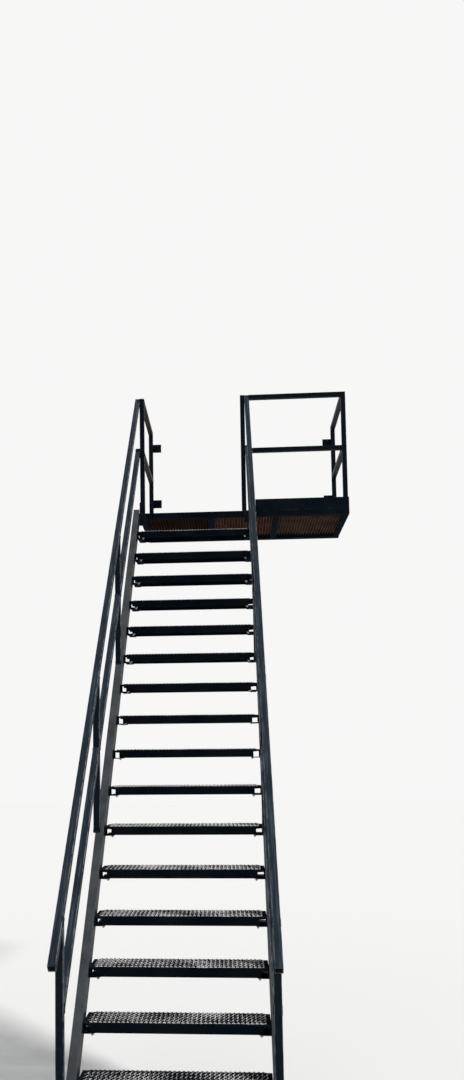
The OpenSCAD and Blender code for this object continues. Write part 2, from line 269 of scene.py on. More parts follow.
# %% [markdown]
# ## Helpers for copies
#
# What repeats is modelled once and copied, each copy with its own mesh, and the copies are joined
# into one piece. The place of a copy goes into its mesh, so every object stays at the origin.

# %% Copies, joining and finishing
def copy_to(piece, name, place):
    """A copy with its own mesh, moved by a matrix, with its place in its mesh."""
    twin = piece.copy()
    twin.data = piece.data.copy()
    twin.name = name
    bpy.context.scene.collection.objects.link(twin)
    twin.data.transform(place)
    return twin


def join(pieces, name):
    """Several pieces as one."""
    clear_selection()
    for piece in pieces:
        piece.select_set(True)
    bpy.context.view_layer.objects.active = pieces[0]
    bpy.ops.object.join()
    whole = bpy.context.object
    whole.name = name
    return whole


def finish_piece(piece, material):
    """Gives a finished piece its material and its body."""
    piece.data.materials.clear()
    piece.data.materials.append(material)
    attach(piece, "root")
    return piece


print("copy helpers ready")

# %% [markdown]
# ## Where the solids of a node are
#
# Several CAD nodes hold more than one solid: the carriers, the posts, the wall plates. Nuts and
# weld beads need the box of each one. Faces that share a corner belong to the same solid, so the
# corners are gathered into groups and each group gives a box.

# %% Boxes of the solids in a node
def solids(name):
    """The low and high corner of each separate solid of a CAD node, from the front to the wall."""
    mesh = nodes[name].data
    place_of = {}
    home = []
    for point in mesh.vertices:
        key = tuple(round(c, 5) for c in point.co)
        home.append(place_of.setdefault(key, len(place_of)))
    owner = list(range(len(place_of)))

    def top(i):
        while owner[i] != i:
            i = owner[i]
        return i

    for face in mesh.polygons:
        first, *others = [top(home[corner]) for corner in face.vertices]
        for i in others:
            if i != first:
                owner[i] = first
            first = top(first)
    groups = {}
    for key, i in place_of.items():
        groups.setdefault(top(i), []).append(key)
    boxes = [(Vector([min(c) for c in zip(*g)]), Vector([max(c) for c in zip(*g)])) for g in groups.values()]
    return sorted(boxes, key=lambda box: (box[0].y, box[0].x))


print("wall plates:", len(solids("wall_ties")))

# %% [markdown]
# ## What the weather does
#
# The same four things happen to every part of the stair: paint wears off along edges, dust
# settles on what faces up, rust blooms in spots and runs down, and the paint film has a fine
# grain. Each is a node group that puts out a mask or a height, and each finish mixes them in
# its own strength.

# %% Helpers for node groups
def new_group(name, inputs, outputs):
    """An empty node group with float inputs and outputs."""
    tree = bpy.data.node_groups.new(name, "ShaderNodeTree")
    for label, value in inputs:
        socket = tree.interface.new_socket(label, in_out="INPUT", socket_type="NodeSocketFloat")
        socket.default_value = value
    for label in outputs:
        tree.interface.new_socket(label, in_out="OUTPUT", socket_type="NodeSocketFloat")
    return tree, tree.nodes.new("NodeGroupInput"), tree.nodes.new("NodeGroupOutput")


def feed(tree, socket, value):
    """Sets a socket to a number or links an output to it."""
    if isinstance(value, (int, float)):
        socket.default_value = value
    else:
        tree.links.new(value, socket)


def math_node(tree, kind, *values, clamp=False):
    """One sum of the node kind Math; a number or an output may be given for each side."""
    node = tree.nodes.new("ShaderNodeMath")
    node.operation = kind
    node.use_clamp = clamp
    for socket, value in zip(node.inputs, values):
        feed(tree, socket, value)
    return node.outputs[0]


def noise(tree, scale, detail=4.0, stretch=None, tilt=None):
    """A noise over the object's own coordinates; scale is in features per metre."""
    place = tree.nodes.new("ShaderNodeTexCoord").outputs["Object"]
    if stretch:
        mapping = tree.nodes.new("ShaderNodeMapping")
        if tilt is not None:
            mapping.vector_type = "TEXTURE"
            mapping.inputs["Rotation"].default_value = (tilt, 0, 0)
        mapping.inputs["Scale"].default_value = stretch
        tree.links.new(place, mapping.inputs["Vector"])
        place = mapping.outputs[0]
    node = tree.nodes.new("ShaderNodeTexNoise")
    node.inputs["Detail"].default_value = detail
    tree.links.new(place, node.inputs["Vector"])
    feed(tree, node.inputs["Scale"], scale)
    return node.outputs["Fac"]


def ramp(tree, value, low, high):
    """0 below low, 1 above high, smooth between."""
    node = tree.nodes.new("ShaderNodeMapRange")
    node.interpolation_type = "SMOOTHSTEP"
    tree.links.new(value, node.inputs["Value"])
    feed(tree, node.inputs["From Min"], low)
    feed(tree, node.inputs["From Max"], high)
    return node.outputs[0]


print("node helpers ready")

# %% [markdown]
# ## Edge wear
#
# Hands, boots and weather take the paint off a square tube along its edges first. The Bevel node
# gives a normal that is rounded near an edge. Where that differs from the true normal there is an
# edge, and a noise breaks the line up. Painting a mask by hand would do too, but it would have
# to be painted again for each piece.

# %% Edge wear
edge_wear, given, result = new_group("edge_wear", [("Amount", 1.0), ("Patch Scale", 18.0)], ["Worn"])
rounded = edge_wear.nodes.new("ShaderNodeBevel")
rounded.samples = 4
rounded.inputs["Radius"].default_value = 0.006
surface = edge_wear.nodes.new("ShaderNodeNewGeometry")
against = edge_wear.nodes.new("ShaderNodeVectorMath")
against.operation = "DOT_PRODUCT"
edge_wear.links.new(rounded.outputs[0], against.inputs[0])
edge_wear.links.new(surface.outputs["Normal"], against.inputs[1])
sharp = ramp(edge_wear, math_node(edge_wear, "SUBTRACT", 1.0, against.outputs["Value"]), 0.015, 0.15)
patchy = ramp(edge_wear, noise(edge_wear, given.outputs["Patch Scale"], 6), 0.38, 0.62)
along_edge = math_node(edge_wear, "MULTIPLY", sharp, patchy)
worn = math_node(edge_wear, "MULTIPLY", along_edge, given.outputs["Amount"], clamp=True)
edge_wear.links.new(worn, result.inputs["Worn"])
print("group:", edge_wear.name)

# %% [markdown]
# ## Rounded corners
#
# Rolled tube has no razor edges. A real bevel on every CAD node would change its mesh, which has
# to stay, so the Bevel node only turns the light round the corner, over about 5 mm.

# %% Rounded corners
rounded_corner, given, result = new_group("rounded_corner", [], [])
rounded_corner.interface.new_socket("Normal", in_out="OUTPUT", socket_type="NodeSocketVector")
arc = rounded_corner.nodes.new("ShaderNodeBevel")
arc.samples = 6
arc.inputs["Radius"].default_value = 0.0055
rounded_corner.links.new(arc.outputs[0], result.inputs["Normal"])
print("group:", rounded_corner.name)

# %% [markdown]
# ## Settled dust
#
# Dust lies on what faces up, in soft clouds, and a thin film of it clings everywhere. The height
# of the object's normal says which way a face looks, and two noises make the clouds and the film.

# %% Settled dust
dust_group, given, result = new_group("settled_dust", [("Amount", 1.0), ("Patch Scale", 6.0)], ["Dust"])
facing = dust_group.nodes.new("ShaderNodeSeparateXYZ")
dust_group.links.new(dust_group.nodes.new("ShaderNodeTexCoord").outputs["Normal"], facing.inputs[0])
flat_top = ramp(dust_group, facing.outputs["Z"], 0.30, 0.85)
clouds = ramp(dust_group, noise(dust_group, given.outputs["Patch Scale"], 8), 0.22, 0.70)
clouds = math_node(dust_group, "MULTIPLY_ADD", clouds, 0.55, 0.45)
film = ramp(dust_group, noise(dust_group, 60.0, 6), 0.5, 0.75)
film = math_node(dust_group, "MULTIPLY_ADD", film, 0.16, 0.02)
settled = math_node(dust_group, "MULTIPLY_ADD", flat_top, clouds, film)
dust = math_node(dust_group, "MULTIPLY", settled, given.outputs["Amount"], clamp=True)
dust_group.links.new(dust, result.inputs["Dust"])
print("group:", dust_group.name)

# %% [markdown]
# ## Rust spots and runs
#
# Rust starts as spots where the paint is thin, and rain draws it down in streaks. Both are noise
# above a limit. The streaks use the same noise, pressed together across and drawn out in height.

# %% Rust spots and runs
rust_group, given, result = new_group("rust_bloom", [("Amount", 0.5), ("Scale", 14.0)], ["Rust"])
eaten = math_node(rust_group, "MULTIPLY", given.outputs["Amount"], 0.42)
limit = math_node(rust_group, "SUBTRACT", 0.86, eaten)
spots = noise(rust_group, given.outputs["Scale"], 9)
spots = ramp(rust_group, spots, limit, math_node(rust_group, "ADD", limit, 0.09))
runs = noise(rust_group, given.outputs["Scale"], 6, stretch=(3.0, 3.0, 0.25))
run_limit = math_node(rust_group, "ADD", limit, 0.02)
runs = ramp(rust_group, runs, run_limit, math_node(rust_group, "ADD", limit, 0.16))
rust = math_node(rust_group, "MAXIMUM", spots, math_node(rust_group, "MULTIPLY", runs, 0.6))
rust_group.links.new(rust, result.inputs["Rust"])
print("group:", rust_group.name)

# %% [markdown]
# ## Paint grain
#
# Brushed paint is never flat: it has a fine orange-peel grain and slow waves. The group puts out
# a height, and each material turns it into bump.

# %% Paint grain
grain_group, given, result = new_group("paint_grain", [("Fine", 420.0), ("Coarse", 35.0)], ["Height"])
fine = noise(grain_group, given.outputs["Fine"], 3)
coarse = noise(grain_group, given.outputs["Coarse"], 5)
height = math_node(grain_group, "MULTIPLY_ADD", coarse, 0.6, math_node(grain_group, "MULTIPLY", fine, 0.4))
grain_group.links.new(height, result.inputs["Height"])
print("group:", grain_group.name)

# %% [markdown]
# ## Rubbed marks on a handrail
#
# A hand sliding on a rail leaves long thin marks along it. They are a noise whose space is turned
# to the slope of the flight and drawn out 45 times along it.

# %% Helpers for a finish
def place_group(tree, group, **values):
    """A copy of a node group in a material, with its inputs set."""
    node = tree.nodes.new("ShaderNodeGroup")
    node.node_tree = group
    for label, value in values.items():
        node.inputs[label.replace("_", " ")].default_value = value
    return node.outputs[0]


def mix_colour(tree, mask, under, over):
    """The colour over laid on the colour under, as far as the mask says."""
    node = tree.nodes.new("ShaderNodeMix")
    node.data_type = "RGBA"
    tree.links.new(mask, node.inputs["Factor"])
    for socket, colour in ((node.inputs[6], under), (node.inputs[7], over)):
        if isinstance(colour, tuple):
            socket.default_value = (*colour, 1)
        else:
            tree.links.new(colour, socket)
    return node.outputs[2]


def rubbed_marks(tree):
    """Long thin marks that run up the slope of the stair."""
    return ramp(tree, noise(tree, 150.0, stretch=(1, 45, 1), tilt=slope_angle), 0.50, 0.66)


def add_bump(tree, shader, height, strength, normal=None):
    """Bump of one millimetre at most, on the given normal."""
    node = tree.nodes.new("ShaderNodeBump")
    node.inputs["Strength"].default_value = strength
    node.inputs["Distance"].default_value = 0.001
    tree.links.new(height, node.inputs["Height"])
    if normal is not None:
        tree.links.new(normal, node.inputs["Normal"])
    tree.links.new(node.outputs[0], shader.inputs["Normal"])


def new_material(name, shine):
    """A material with an empty Principled shader of the given specular level."""
    material = bpy.data.materials.new(name)
    material.use_nodes = True
    shader = material.node_tree.nodes["Principled BSDF"]
    shader.inputs["Specular IOR Level"].default_value = shine
    return material, material.node_tree, shader


print("finish helpers ready")

# %% [markdown]
# ## A weathered finish
#
# One function builds every painted finish, because the layers are always the same: paint that has
# faded in places, rust, dust, marks of hands, and bare edges on top. Dust and rust make it
# rougher, and rust and the grain of the paint raise its surface.

# %% A weathered finish
def weathered(name, paint, faded, bare, dusty, rusty, wear, dust, rust, gloss, shine, bump=0.25, rubbed=None):
    """A painted steel finish: five colours, then its share of wear, dust, rust, gloss and shine."""
    material, tree, shader = new_material(name, shine)
    colour = mix_colour(tree, ramp(tree, noise(tree, 5.0, 7), 0.30, 0.72), paint, faded)
    rust_mask = place_group(tree, rust_group, Amount=rust, Scale=13.0)
    rust_tint = mix_colour(tree, noise(tree, 90.0, 5), rusty, tuple(c * 2.1 for c in rusty))
    colour = mix_colour(tree, rust_mask, colour, rust_tint)
    dust_mask = place_group(tree, dust_group, Amount=dust, Patch_Scale=7.0)
    colour = mix_colour(tree, dust_mask, colour, dusty)
    if rubbed:
        thin_dust = math_node(tree, "MULTIPLY", dust_mask, 0.75)
        marks = math_node(tree, "MULTIPLY", rubbed_marks(tree), thin_dust)
        colour = mix_colour(tree, marks, colour, rubbed)
    wear_mask = place_group(tree, edge_wear, Amount=wear, Patch_Scale=16.0)
    colour = mix_colour(tree, wear_mask, colour, bare)
    tree.links.new(colour, shader.inputs["Base Color"])
    rough = math_node(tree, "MULTIPLY_ADD", noise(tree, 22.0, 5), 0.22, gloss)
    dull = math_node(tree, "MAXIMUM", dust_mask, rust_mask)
    rough = math_node(tree, "MULTIPLY_ADD", dull, 0.30, rough, clamp=True)
    tree.links.new(rough, shader.inputs["Roughness"])
    grain = place_group(tree, grain_group, Fine=380.0, Coarse=40.0)
    grain = math_node(tree, "MULTIPLY_ADD", rust_mask, 0.5, grain)
    add_bump(tree, shader, grain, bump, place_group(tree, rounded_corner))
    return material


print("finish builder ready")

# %% [markdown]
# ## Paint on the frame, the rails and the treads
#
# The stair is painted black. The handrails are rubbed and their edges worn, and their pale edges
# also stand for a painted highlight on the rounded corners, and the bluish dust on their tops
# for a painted sheen of the sky. The stringers are the palest with dust, and the guards are less
# worn than the handrails. Each part has its own finish, because one black on all of it would
# look like plastic.

# %% Black finishes
black = (0.0025, 0.0065, 0.0115)
faded_black = (0.0060, 0.0105, 0.0160)
rust_red = (0.040, 0.015, 0.008)
finishes = {
    "frame_paint": weathered(
        "frame_paint", black, faded_black, (0.11, 0.115, 0.12), (0.052, 0.057, 0.061), rust_red,
        wear=0.35, dust=0.75, rust=0.10, gloss=0.36, shine=0.0),
    # The pale bare edges of the handrails are worn paint and a painted highlight, and their bluish dust is
    # dust and a painted sheen of the sky.
    "rail_paint": weathered(
        "rail_paint", (0.0035, 0.0078, 0.0130), (0.0080, 0.0130, 0.0185), (0.36, 0.37, 0.38),
        (0.019, 0.029, 0.040), rust_red,
        wear=0.90, dust=0.95, rust=0.08, gloss=0.30, shine=0.03, rubbed=(0.075, 0.090, 0.105)),
    "tread_steel": weathered(
        "tread_steel", black, (0.0075, 0.0110, 0.0150), (0.10, 0.10, 0.10), (0.018, 0.019, 0.021), rust_red,
        wear=0.35, dust=0.70, rust=0.12, gloss=0.42, shine=0.0, bump=0.35),
}
stringer_paint = weathered(
    "stringer_paint", (0.006, 0.010, 0.015), (0.014, 0.018, 0.022), (0.16, 0.165, 0.17),
    (0.075, 0.080, 0.084), rust_red, wear=0.45, dust=0.95, rust=0.14, gloss=0.36, shine=0.04)
guard_paint = weathered(
    "guard_paint", black, faded_black, (0.085, 0.090, 0.095), (0.030, 0.040, 0.052), rust_red,
    wear=0.35, dust=0.85, rust=0.08, gloss=0.32, shine=0.02)
print("black finishes:", len(finishes) + 2)

# %% [markdown]
# ## Rust, painted shade and painted light on the landing
#
# The grating has lost most of its paint. Its colours are kept dark as painted shade under the
# landing. The left panel is the darkest, as painted shade, and the right one the lightest, as
# painted sunlight on its bars, so the three get a finish each. The rails of the left guard are
# rusty as well.

# %% Rusty finishes with painted light and shade
# The dark colours of the grating are rust and painted shade under the landing.
finishes["rusty_grating"] = weathered(
    "rusty_grating", (0.030, 0.013, 0.009), (0.060, 0.026, 0.015), (0.12, 0.060, 0.036),
    (0.060, 0.043, 0.034), (0.085, 0.032, 0.015),
    wear=0.30, dust=0.50, rust=0.70, gloss=0.55, shine=0.03, bump=0.5)
lit_and_shaded_panels = {
    # The left panel is darker still: painted shade.
    "left": weathered(
        "grating_shaded", (0.012, 0.0065, 0.0055), (0.026, 0.012, 0.008), (0.06, 0.03, 0.02),
        (0.040, 0.030, 0.025), (0.040, 0.016, 0.009),
        wear=0.30, dust=0.40, rust=0.55, gloss=0.55, shine=0.0, bump=0.5),
    "middle": finishes["rusty_grating"],
    # The right panel is lighter: painted sunlight on its bars.
    "right": weathered(
        "grating_rusted_sunlit", (0.032, 0.020, 0.016), (0.085, 0.050, 0.037), (0.16, 0.10, 0.07),
        (0.070, 0.052, 0.042), (0.085, 0.042, 0.027),
        wear=0.40, dust=0.40, rust=0.60, gloss=0.55, shine=0.0, bump=0.6),
}
rusty_rail = weathered(
    "rusty_rail", (0.0070, 0.0080, 0.0095), (0.0130, 0.0130, 0.0140), (0.10, 0.105, 0.11),
    (0.019, 0.026, 0.034), (0.055, 0.023, 0.014),
    wear=0.35, dust=0.95, rust=0.80, gloss=0.34, shine=0.02)
print("rusty finishes:", len(lit_and_shaded_panels) + 1)

# %% [markdown]
# ## Finishes on the CAD nodes
#
# A CAD node keeps its mesh, and only the material in its slots is changed. Most nodes take the
# finish of their slot in the record, and those that look different in the photograph have one
# of their own.

# %% Dress the CAD nodes
own_finish = {name: guard_paint for name in nodes if name.startswith("guard_") or name == "wall_ties"}
own_finish |= {"stringer_" + hand: stringer_paint for hand in ("left", "right")}
own_finish["guard_rails_left"] = rusty_rail
own_finish |= {"deck_grating_" + panel: finish for panel, finish in lit_and_shaded_panels.items()}
for name, node in nodes.items():
    for holder in node.material_slots:
        holder.material = own_finish.get(name, finishes[slot_of[name]])
print("nodes with a finish of their own:", len(own_finish))

# %% [markdown]
# ## The teeth of a tread
#
# A real plank tread is cold-formed so that each strand between two openings stands on edge and
# is toothed. The sheet with its wider openings is in the CAD model. Here one strand is
# modelled, a thin strip with three teeth, four of them are laid round one opening, and that
# cell is repeated over the tread. Each point carries how high it stands, so the finish can be
# worn bright at the tips.

# %% One strand
def mark_height(piece, foot, tall):
    """Stores on each point how high it stands, from 0 at the foot to 1 at the tip."""
    tip = piece.data.attributes.new("tip", "FLOAT", "POINT")
    for point in piece.data.vertices:
        tip.data[point.index].value = min(1, max(0, (point.co.z - foot) / tall))


tread_deep = tread_high.y - tread_low.y
pitch_x, row_y = 0.024, tread_deep / 8
strand_long, strand_thick = math.hypot(pitch_x / 2, row_y) - 0.0015, 0.0032
strand_low, strand_top, tooth_rise = -0.0012, 0.0020, 0.0042
same_place = 0.0005
half_long, half_thick = strand_long / 2, strand_thick / 2
ridge = start_box("ridge", (-half_long, -half_thick, strand_low), (half_long, half_thick, strand_top))
cut([strand_long * share for share in (-0.45, -0.34, -0.18, -0.02, 0.14, 0.30, 0.42)], 0)
pick(ridge, lambda v: v.co.z > 0)
bpy.ops.transform.resize(value=(1, 0.55, 1))
for peak, rise in ((-0.34, 1.0), (-0.02, 1.0), (0.30, 0.75)):
    pick(ridge, lambda v: v.co.z > 0 and abs(v.co.x - strand_long * peak) < same_place)
    bpy.ops.transform.resize(value=(1, 0.5, 1))
    bpy.ops.transform.translate(value=(0, 0, tooth_rise * rise))
pick(ridge, lambda v: v.co.z > 0 and abs(v.co.x) > strand_long * 0.49)
bpy.ops.transform.translate(value=(0, 0, -0.0010))
bpy.ops.object.mode_set(mode="OBJECT")
mark_height(ridge, strand_low, strand_top - strand_low + tooth_rise)
print("strand:", len(ridge.data.polygons), "faces")

# %% [markdown]
# ## One cell of the lattice
#
# Four strands lean round each diamond opening. Each strand gets a share of how bare its tips are,
# highest for the front one that leans to the right, so that the lattice shows bright slashes:
# painted light, as on strand faces that the light falls on. That share goes into the height
# which each point carries, and the finish needs no second mask.

# %% Four strands round an opening
lean = math.atan2(row_y, pitch_x / 2)
cell = []
# The four shares are painted light: strands meant as lit get more bare metal, shaded ones less.
for along, across, share in ((-1, -1, 0.30), (1, -1, 1.0), (1, 1, 0.55), (-1, 1, 0.50)):
    angle = -lean if along * across > 0 else lean
    middle = Matrix.Translation((along * pitch_x / 4, across * row_y / 2, 0))
    twin = copy_to(ridge, "ridge_copy", middle @ Matrix.Rotation(angle, 4, "Z"))
    for tip_height in twin.data.attributes["tip"].data:
        tip_height.value *= share
    cell.append(twin)
cell = join(cell, "cell")
bpy.data.objects.remove(ridge)
print("cell:", len(cell.data.polygons), "faces")

# %% [markdown]
# ## The worn teeth
#
# Boots keep the tips bright. The finish of the teeth is the black of the treads at the foot
# of each ridge and bare, dusty steel at its point. A fine noise leaves some teeth darker, and a
# broad one shifts whole zones darker and lighter: painted shadow of the rails and painted light
# between them.

# %% Finish of the teeth
def tooth_finish(name, dull):
    """Dark at the foot, bare at the point; dull is how far the point has to stand up to be bare."""
    material, tree, shader = new_material(name, 0.05)
    high = tree.nodes.new("ShaderNodeAttribute")
    high.attribute_name = "tip"
    # Broad zones of darker teeth are painted shadow of the rails.
    shadow_patches = math_node(tree, "MULTIPLY_ADD", noise(tree, 4.0, 6), 0.9, -0.45)
    each = math_node(tree, "MULTIPLY_ADD", noise(tree, 70.0, 2), 0.7, shadow_patches)
    bright = ramp(tree, math_node(tree, "ADD", high.outputs["Fac"], each), dull, dull + 0.14)
    colour = mix_colour(tree, noise(tree, 30.0, 5), (0.002, 0.004, 0.006), (0.009, 0.011, 0.014))
    metal = mix_colour(tree, noise(tree, 120.0, 4), (0.62, 0.60, 0.60), (0.92, 0.89, 0.89))
    colour = mix_colour(tree, bright, colour, metal)
    rust_mask = place_group(tree, rust_group, Amount=0.25, Scale=20.0)
    colour = mix_colour(tree, rust_mask, colour, (0.09, 0.04, 0.025))
    tree.links.new(colour, shader.inputs["Base Color"])
    tree.links.new(math_node(tree, "MULTIPLY_ADD", bright, -0.12, 0.56), shader.inputs["Roughness"])
    tree.links.new(math_node(tree, "MULTIPLY", bright, 0.35), shader.inputs["Metallic"])
    add_bump(tree, shader, place_group(tree, grain_group, Fine=500.0, Coarse=80.0), 0.3)
    return material


worn_teeth = tooth_finish("worn_teeth", 0.62)
nose_teeth = tooth_finish("nose_teeth", 0.70)
print("finishes:", worn_teeth.name, nose_teeth.name)

# %% [markdown]
# ## Teeth on every tread
#
# Two arrays repeat the cell over a plank, and each tread gets a copy. The lattice is drawn in a
# little from the nose and the back, where the saw edges stand.

# %% Teeth on every tread
edge_gap, end_gap = 0.006, 0.010
across_count = 2 * int((tread_high.x - tread_low.x - pitch_x - end_gap) / pitch_x / 2) + 1
deep_count = round(tread_deep / row_y / 2)
array(cell, across_count, (pitch_x, 0, 0))
array(cell, deep_count, (0, row_y * 2, 0))
cell.data.transform(Matrix.Translation((-(across_count - 1) * pitch_x / 2, row_y, 0)))
inset = Matrix.Diagonal((1, (tread_deep - edge_gap * 2) / tread_deep, 1, 1))
tread_names = sorted(name for name in nodes if name.startswith("tread_") and name[6:].isdigit())
for name in tread_names:
    low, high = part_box(name)
    place = Matrix.Translation(((low.x + high.x) / 2, low.y + edge_gap, high.z))
    teeth = copy_to(cell, "teeth_" + name[6:], place @ inset)
    finish_piece(teeth, worn_teeth)
bpy.data.objects.remove(cell)
print("teeth:", len(tread_names), "treads of", len(teeth.data.polygons), "faces")

# %% [markdown]
# ## The saw edge of a tread
#
# Along the nose and the back of a plank the last row of strands stands up as a saw edge, one
# point for each opening. One point is a small box whose top is drawn together and whose sides
# are pinched, and a row of them is laid on both long edges of each tread.

# %% One saw tooth
saw_half, saw_thick, saw_foot, saw_tip, saw_waist = 0.0105, 0.0026, -0.0010, 0.0062, 0.0016
saw = start_box("saw", (-saw_half, -saw_thick / 2, saw_foot), (saw_half, saw_thick / 2, saw_tip))
cut([saw_waist], 2)
pick(saw, lambda v: v.co.z > 0.005)
bpy.ops.transform.resize(value=(0.16, 0.7, 1))
bpy.ops.transform.translate(value=(0.0008, 0, 0))
pick(saw, lambda v: abs(v.co.z - saw_waist) < 0.0002)
bpy.ops.transform.resize(value=(0.80, 1, 1))
bpy.ops.object.mode_set(mode="OBJECT")
mark_height(saw, 0, saw_tip)
array(saw, across_count - 1, (pitch_x, 0, 0))
saw.data.transform(Matrix.Translation((-(across_count - 2) * pitch_x / 2, 0, 0)))
print("saw row:", len(saw.data.polygons), "faces")

# %% [markdown]
# ## Saw edges on every tread
#
# The row is copied to the nose and to the back of each tread, 3 mm in, and the two copies are one
# piece. Its finish is bare only a little higher up than that of the lattice.

# %% Saw edges on every tread
saw_in = 0.0030
for name in tread_names:
    low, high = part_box(name)
    rows = []
    for y in (low.y + saw_in, high.y - saw_in):
        rows.append(copy_to(saw, "saw_row", Matrix.Translation(((low.x + high.x) / 2, y, high.z))))
    finish_piece(join(rows, "saw_edge_" + name[6:]), nose_teeth)
bpy.data.objects.remove(saw)
print("saw edges:", len(tread_names))

# %% [markdown]
# ## Straps behind the carriers
#
# Each tread sits on two short carrier angles. A flat strap runs on from each angle to the back
# lip of the tread. It is a box from the carrier to the lip, with a small bevel.

# %% Straps behind the carriers
strap_thick, strap_in = 0.0048, 0.003
carrier_of = {}
for hand in ("left", "right"):
    carrier_of[hand] = sorted(solids("tread_carriers_" + hand), key=lambda box: box[0].z)
straps = []
for k, name in enumerate(tread_names):
    tread_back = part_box(name)[1].y
    for hand in ("left", "right"):
        low, high = carrier_of[hand][k]
        back_end = (high.x - strap_in, tread_back - strap_in, low.z + strap_thick)
        strap = start_box("strap", (low.x + strap_in, high.y, low.z), back_end)
        bevel_edges(strap, 0.0012)
        straps.append(strap)
finish_piece(join(straps, "carrier_straps"), finishes["frame_paint"])
print("straps:", len(straps))

# %% [markdown]
# ## Ends of the folded edges
#
# The folded front and back of a tread are cut away over the carriers, but a low strip of them
# stays as a tab. Its free end slopes up a little, which is a shift of two points in edit mode.

# %% Ends of the folded edges
tab_high, tab_long, fold, hair = 0.016, 0.0425, 0.003, 0.0002
tabs = []
for name in tread_names:
    low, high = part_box(name)
    for y in (low.y + hair, high.y - fold - hair):
        for x in (low.x, high.x - tab_long):
            top_end = (x + tab_long, y + fold, high.z - fold + 0.0005)
            tab = start_box("tab", (x, y, high.z - tab_high), top_end)
            inner = x + tab_long if x == low.x else x
            pick(tab, lambda v: abs(v.co.x - inner) > 0.01 and v.co.z < high.z - tab_high / 2)
            bpy.ops.transform.translate(value=(0, 0, 0.003))
            bpy.ops.object.mode_set(mode="OBJECT")
            bevel_edges(tab, 0.0006)
            tabs.append(tab)
finish_piece(join(tabs, "tread_end_tabs"), finishes["tread_steel"])
print("tabs:", len(tabs))

# %% [markdown]
# ## Nuts, washers and threads
#
# A fastening is made once at its real size, pointing along +Z from the plate it sits on: a round
# washer, a six-sided nut with its corners turned off, and the end of the stud with its thread cut
# as rings. The corners of the nut are turned off by an inset that raises the middle of each end.

# %% One nut on its stud
def fastener(name, across, thread, stud):
    """A nut with washer and stud end: the width across flats, the thread and how far it stands out."""
    washer = start_bar(20, across * 0.92, thread * 0.20, location=(0, 0, thread * 0.10))
    bevel_edges(washer, thread * 0.04)
    corner = across / 2 / math.cos(math.pi / 6)
    nut = start_bar(6, corner, thread * 0.8, location=(0, 0, thread * 0.6))
    pick(nut, lambda f: abs(f.normal.z) > 0.9, "FACE")
    bpy.ops.mesh.inset(thickness=across * 0.06, depth=thread * 0.05)
    bpy.ops.object.mode_set(mode="OBJECT")
    end = start_bar(10, thread / 2, stud, location=(0, 0, thread + stud / 2))
    turns = max(3, int(stud / thread * 5))
    cut([thread + stud * ring / turns for ring in range(1, turns)], 2)
    for ring in range(1, turns + 1, 2):
        level_z = thread + stud * ring / turns
        pick(end, lambda v: abs(v.co.z - level_z) < stud / turns / 4)
        bpy.ops.transform.resize(value=(0.84, 0.84, 1))
    bpy.ops.object.mode_set(mode="OBJECT")
    return join([washer, nut, end], name)


small_nut = fastener("small_nut", across=0.013, thread=0.008, stud=0.003)
wall_nut = fastener("wall_nut", across=0.019, thread=0.0115, stud=0.014)
ground_nut = fastener("ground_nut", across=0.024, thread=0.016, stud=0.022)
print("nut:", len(small_nut.data.polygons), "faces")

# %% [markdown]
# ## Nuts under the treads
#
# A bolt holds the front lip of each tread end down, and its nut hangs below the carrier. The nuts
# look like bare zinc, so their finish is dull and partly metallic, and its pale colour also stands
# for a glint of light on them: a painted highlight. Each is turned a little further than the
# last, as no two nuts stop at the same angle.

# %% Nuts under the treads
# The pale zinc colours are partly a painted highlight.
glinting_zinc = weathered(
    "zinc_painted_glint", (0.50, 0.51, 0.53), (0.66, 0.67, 0.69), (0.75, 0.75, 0.76), (0.12, 0.115, 0.11),
    (0.12, 0.05, 0.025), wear=0.5, dust=0.35, rust=0.38, gloss=0.36, shine=0.5)
glinting_zinc.node_tree.nodes["Principled BSDF"].inputs["Metallic"].default_value = 0.45
bolt_in, bolt_back = 0.0505, 0.0085
facing_down = Matrix.Rotation(math.pi, 4, "X")
nuts = []
for hand, inward in (("left", 1), ("right", -1)):
    for low, high in carrier_of[hand]:
        face = low.x if inward > 0 else high.x
        spot = Matrix.Translation((face + inward * bolt_in, low.y + bolt_back, low.z))
        turned = Matrix.Rotation(len(nuts) * 0.7, 4, "Z")
        nuts.append(copy_to(small_nut, "nut_copy", spot @ facing_down @ turned))
finish_piece(join(nuts, "tread_nuts"), glinting_zinc)
print("nuts under the treads:", len(nuts))

# %% [markdown]
# ## Anchor nuts
#
# The wall plates and the foot plates are held by larger nuts, painted over with the frame. The
# wall nuts point away from the wall and the ground nuts point up.

# %% Anchor nuts
tie_hole, tie_side, foot_hole = 0.022, 0.060, 0.020
facing_out = Matrix.Rotation(math.pi / 2, 4, "X")
nuts = []
for post, inward in (("guard_post_rear_left", 1), ("guard_post_rear_right", -1)):
    post_low, post_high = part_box(post)
    x = (post_low.x + post_high.x) / 2 + inward * tie_side
    for low, high in solids("wall_ties"):
        if (low.x < 0) != (inward > 0):
            continue
        for up_or_down in (-1, 1):
            spot = Matrix.Translation((x, low.y, (low.z + high.z) / 2 + up_or_down * tie_hole))
            turned = Matrix.Rotation(len(nuts) * 0.9, 4, "Z")
            nuts.append(copy_to(wall_nut, "nut_copy", spot @ facing_out @ turned))
for low, high in solids("foot_plates"):
    for y in (low.y + foot_hole, high.y - foot_hole):
        spot = Matrix.Translation(((low.x + high.x) / 2, y, high.z))
        nuts.append(copy_to(ground_nut, "nut_copy", spot @ Matrix.Rotation(len(nuts) * 0.5, 4, "Z")))
finish_piece(join(nuts, "anchor_nuts"), finishes["frame_paint"])
for spare in (small_nut, wall_nut, ground_nut):
    bpy.data.objects.remove(spare)
print("anchor nuts:", len(nuts))

